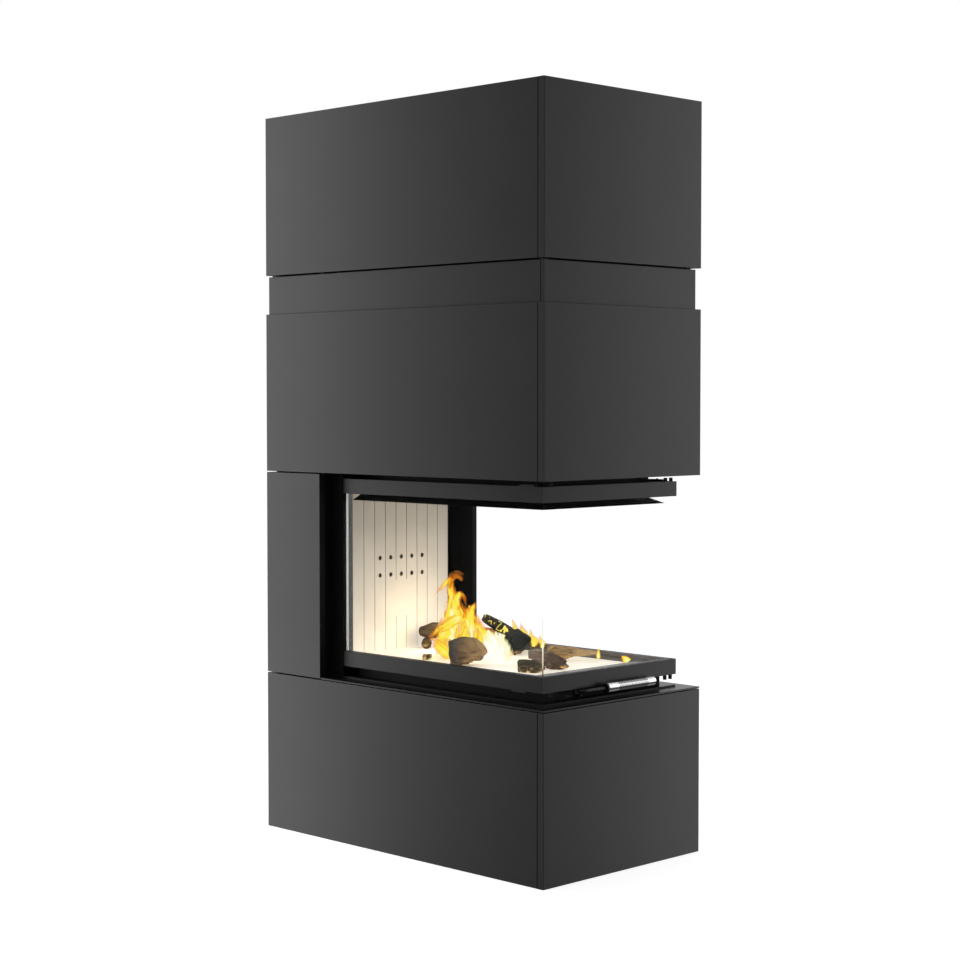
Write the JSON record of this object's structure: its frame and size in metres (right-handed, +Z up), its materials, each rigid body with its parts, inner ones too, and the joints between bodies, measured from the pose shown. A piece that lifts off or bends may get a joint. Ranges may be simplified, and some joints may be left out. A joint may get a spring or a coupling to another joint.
{
  "type": "three-sided fireplace insert",
  "caption": "Tall steel-cased fireplace insert glazed on three sides, with a lifting glass door on counterweights, a chrome handle, an air slide and a log fire on a hearth.",
  "frame": {"origin": "middle of the footprint on the floor, the bottom centre of the closed object's box", "axes": "+Z up; X along the casing, the closed column at -X and the short glazed end at +X; the long glazed face the picture shows is at -Y"},
  "size_m": [1, 0.567, 1.862],
  "materials": {
    "casing_paint": "satin",
    "deck_paint": "satin",
    "frame_paint": "matte",
    "firebox_black": "matte",
    "rim_grey": "satin",
    "door_black": "satin",
    "black_hardware": "satin",
    "zinc_steel": "satin",
    "cable_steel": "satin",
    "chamotte": "matte",
    "insulation": "matte",
    "clear_glass": "polished",
    "handle_black": "satin",
    "grip_chrome": "polished",
    "weight_iron": "matte",
    "log_wood": "matte"
  },
  "bodies": {
    "stove": {"base_front_panel": "casing_paint", "base_rear_panel": "casing_paint", "base_end_panel": "casing_paint", "hood_front_panel": "casing_paint", "hood_rear_panel": "casing_paint", "hood_end_panel": "casing_paint", "band_front_panel": "casing_paint", "band_rear_panel": "casing_paint", "band_end_panel": "casing_paint", "crown_front_panel": "casing_paint", "crown_rear_panel": "casing_paint", "crown_end_panel": "casing_paint", "column_front_panel": "casing_paint", "column_rear_panel": "casing_paint", "base_wall_panel": "casing_paint", "column_wall_panel": "casing_paint", "upper_wall_panel": "casing_paint", "panel_screws": "black_hardware", "column_uprights": "frame_paint", "base_frame": "frame_paint", "upper_frame": "frame_paint", "insert_stand": "frame_paint", "top_cover": "casing_paint", "deck_plate": "deck_paint", "deck_riser": "deck_paint", "levelling_feet": "zinc_steel", "air_inlet_collar": "zinc_steel", "plinth": "firebox_black", "hearth_rim": "rim_grey", "hearth_bricks": "chamotte", "end_lining": "chamotte", "end_insulation": "insulation", "firebox_end_wall": "firebox_black", "column_reveals": "firebox_black", "guide_rails": "firebox_black", "smoke_dome": "firebox_black", "flue_collar": "firebox_black", "air_skirt": "firebox_black", "baffle_slab": "insulation", "baffle_bars": "firebox_black", "pulley_bridge": "frame_paint", "lift_cables": "cable_steel", "logs": "log_wood"},
    "lift_door": {"lower_door_bars": "door_black", "upper_door_bars": "door_black", "glass_front": "clear_glass", "glass_end": "clear_glass", "glass_rear": "clear_glass", "door_carriages": "firebox_black", "corner_plates": "black_hardware", "door_bolts": "black_hardware", "handle_pin": "black_hardware"},
    "door_handle": {"handle_rod": "handle_black", "handle_cap": "handle_black", "handle_grip": "grip_chrome"},
    "air_lever": {"air_slide": "black_hardware"},
    "weight_front": {"counterweight_front": "weight_iron"},
    "weight_rear": {"counterweight_rear": "weight_iron"},
    "wheel_front": {"pulley_front": "zinc_steel"},
    "wheel_rear": {"pulley_rear": "zinc_steel"}
  },
  "joints": [
    {"name": "door_lift", "type": "slide", "parent": "stove", "child": "lift_door", "axis": [0, 0, 1], "range_m": [0, 0.44], "deforming": ["lift_cables"]},
    {"name": "weight_front_slide", "type": "slide", "parent": "stove", "child": "weight_front", "axis": [0, 0, 1], "range_m": [-0.44, 0]},
    {"name": "weight_rear_slide", "type": "slide", "parent": "stove", "child": "weight_rear", "axis": [0, 0, 1], "range_m": [-0.44, 0]},
    {"name": "wheel_front_spin", "type": "hinge", "parent": "stove", "child": "wheel_front", "pos_m": [-0.32525, -0.23375, 1.565], "axis": [0, -1, 0], "range_deg": [0, 421]},
    {"name": "wheel_rear_spin", "type": "hinge", "parent": "stove", "child": "wheel_rear", "pos_m": [-0.32525, 0.23375, 1.565], "axis": [0, -1, 0], "range_deg": [0, 421]},
    {"name": "handle_swing", "type": "hinge", "parent": "lift_door", "child": "door_handle", "pos_m": [0.449, -0.1175, 0.44], "axis": [0, 0, -1], "range_deg": [0, 85]},
    {"name": "air_slide", "type": "slide", "parent": "stove", "child": "air_lever", "axis": [0, -1, 0], "range_m": [0, 0.036]}
  ],
  "couplings": [
    {"joint": "weight_front_slide", "follows": "door_lift", "ratio": -1},
    {"joint": "weight_rear_slide", "follows": "door_lift", "ratio": -1},
    {"joint": "wheel_front_spin", "follows": "door_lift", "rad_per_m": 16.667},
    {"joint": "wheel_rear_spin", "follows": "door_lift", "rad_per_m": 16.667}
  ]
}
